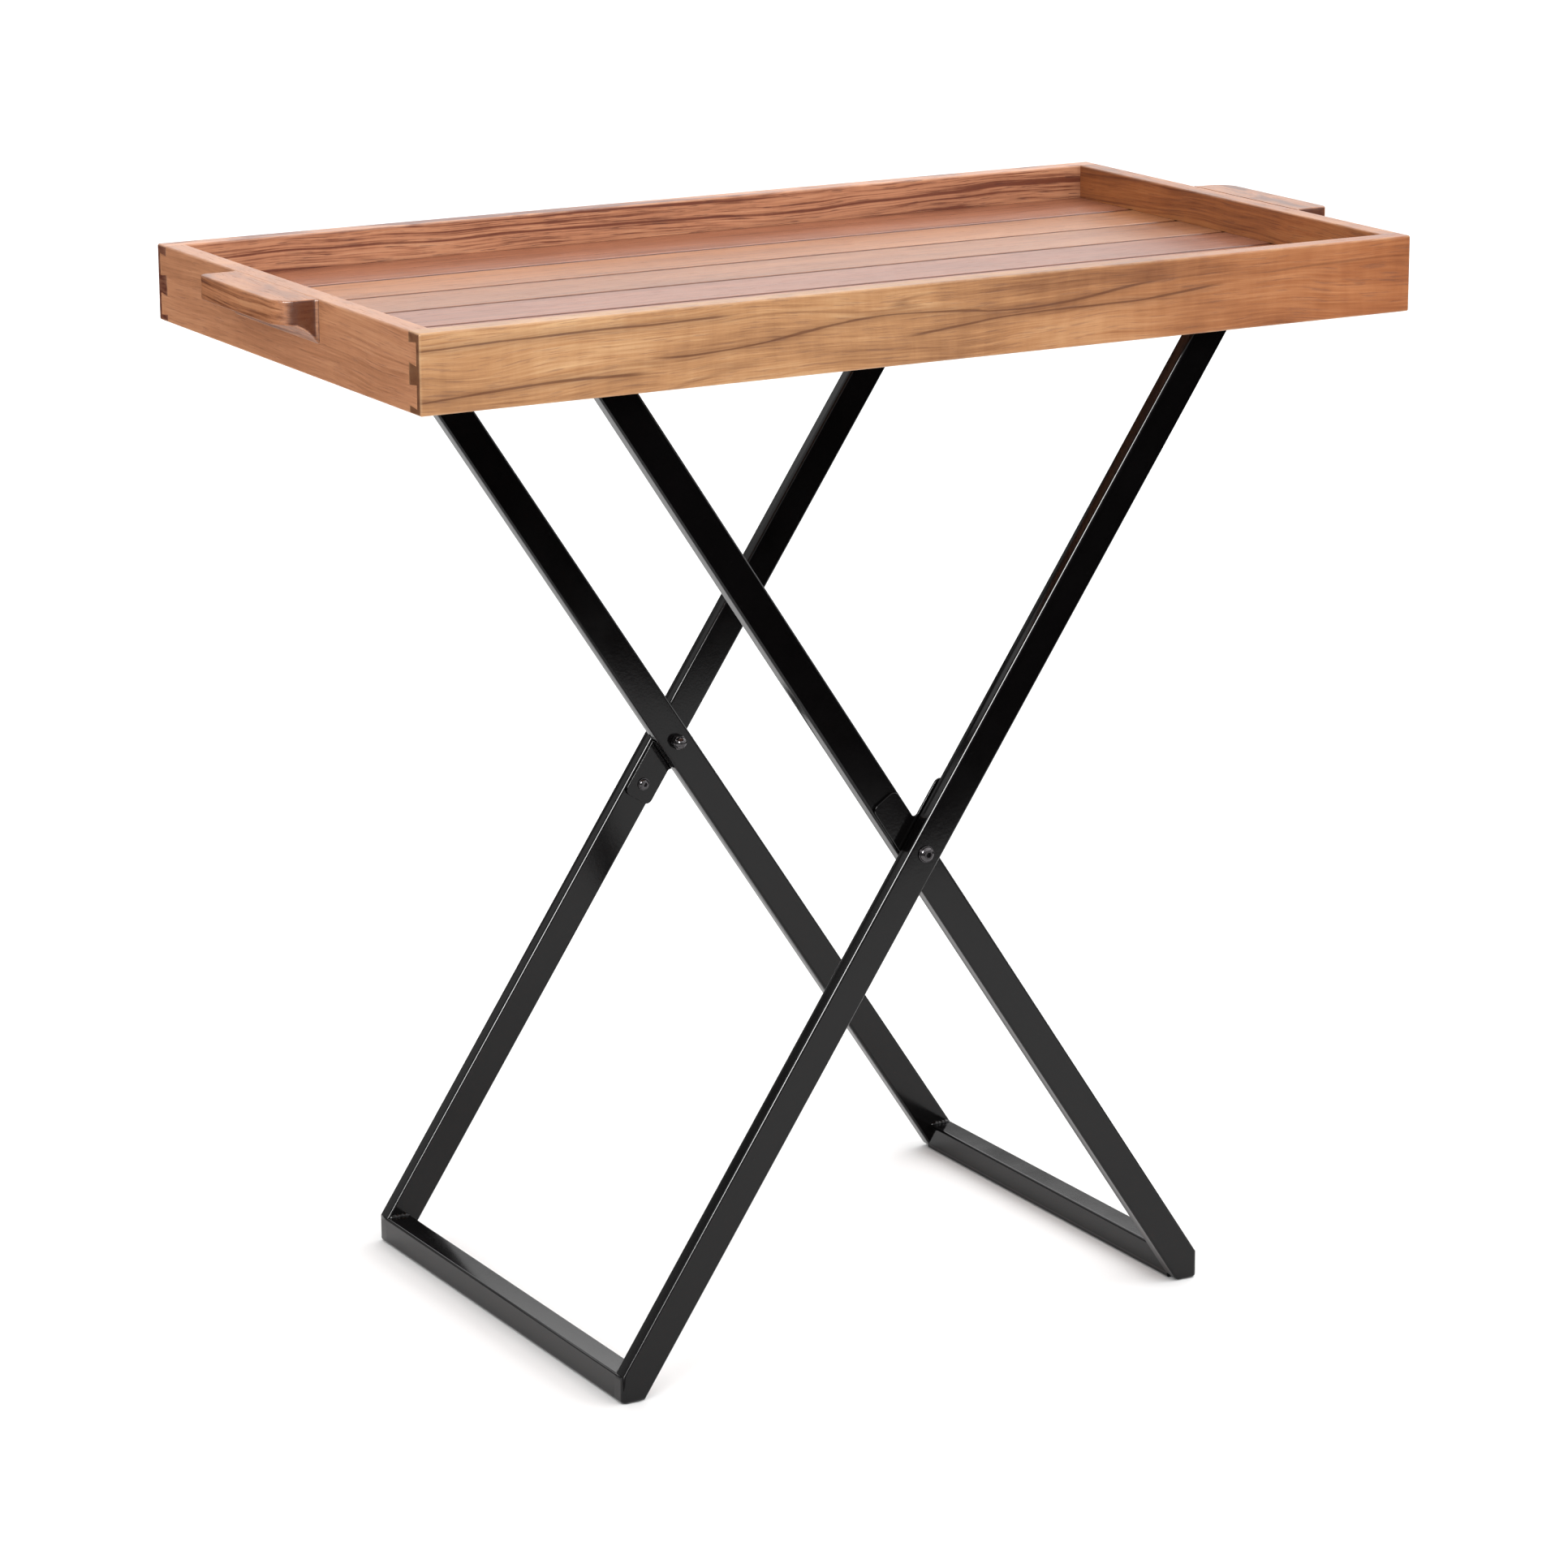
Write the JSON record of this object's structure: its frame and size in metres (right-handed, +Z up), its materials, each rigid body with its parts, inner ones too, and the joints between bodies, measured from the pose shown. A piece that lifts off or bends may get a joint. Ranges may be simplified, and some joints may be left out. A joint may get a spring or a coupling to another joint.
{
  "type": "folding tray table",
  "caption": "Folding tray table: a dovetailed wooden tray with a sunken slatted floor and a grip at each end, resting on a crossed black steel tube stand that folds.",
  "frame": {"origin": "on the floor, under the middle of the tray", "axes": "+X along the tray towards the handle of the right end, +Y to the back, +Z up"},
  "size_m": [0.669, 0.341, 0.614],
  "materials": {
    "long_wall_wood": "satin oiled acacia, golden brown with dark streaks",
    "end_wall_wood": "satin oiled acacia, even orange brown",
    "slat_wood": "satin oiled acacia, each slat its own tone",
    "handle_wood": "satin oiled acacia",
    "batten_wood": "unfinished sawn wood",
    "zinc_steel": "zinc plated",
    "black_paint": "semi-gloss black powder coat",
    "black_steel": "black oxide, glossy"
  },
  "bodies": {
    "outer_frame": {"outer_leg_front": "black_paint", "outer_leg_back": "black_paint", "outer_foot_bar": "black_paint", "outer_top_bar": "black_paint", "pivot_bolt_front": "black_steel", "pivot_bolt_back": "black_steel", "pivot_nut_front": "black_steel", "pivot_nut_back": "black_steel", "stop_plate_front": "black_paint", "stop_plate_back": "black_paint", "stop_screw_front": "black_steel", "stop_screw_back": "black_steel"},
    "inner_frame": {"inner_leg_front": "black_paint", "inner_leg_back": "black_paint", "inner_foot_bar": "black_paint", "inner_top_bar": "black_paint"},
    "tray": {"front_wall": "long_wall_wood", "back_wall": "long_wall_wood", "left_wall": "end_wall_wood", "right_wall": "end_wall_wood", "slat_1": "slat_wood", "slat_2": "slat_wood", "slat_3": "slat_wood", "slat_4": "slat_wood", "slat_5": "slat_wood", "slat_6": "slat_wood", "left_handle": "handle_wood", "right_handle": "handle_wood", "left_batten": "batten_wood", "right_batten": "batten_wood", "left_batten_screw_1": "zinc_steel", "left_batten_screw_2": "zinc_steel", "left_batten_screw_3": "zinc_steel", "left_batten_screw_4": "zinc_steel", "left_batten_screw_5": "zinc_steel", "left_batten_screw_6": "zinc_steel", "right_batten_screw_1": "zinc_steel", "right_batten_screw_2": "zinc_steel", "right_batten_screw_3": "zinc_steel", "right_batten_screw_4": "zinc_steel", "right_batten_screw_5": "zinc_steel", "right_batten_screw_6": "zinc_steel"}
  },
  "joints": [
    {"name": "tray_lift", "type": "slide", "parent": "outer_frame", "child": "tray", "axis": [0, 0, 1], "range_m": [0, 0.1715]},
    {"name": "stand_fold", "type": "hinge", "parent": "outer_frame", "child": "inner_frame", "pos_m": [0, 0, 0.29], "axis": [0, 1, 0], "range_deg": [0, 41]}
  ],
  "couplings": [
    {"joint": "stand_fold", "follows": "tray_lift", "rad_per_m": 4.1667}
  ]
}
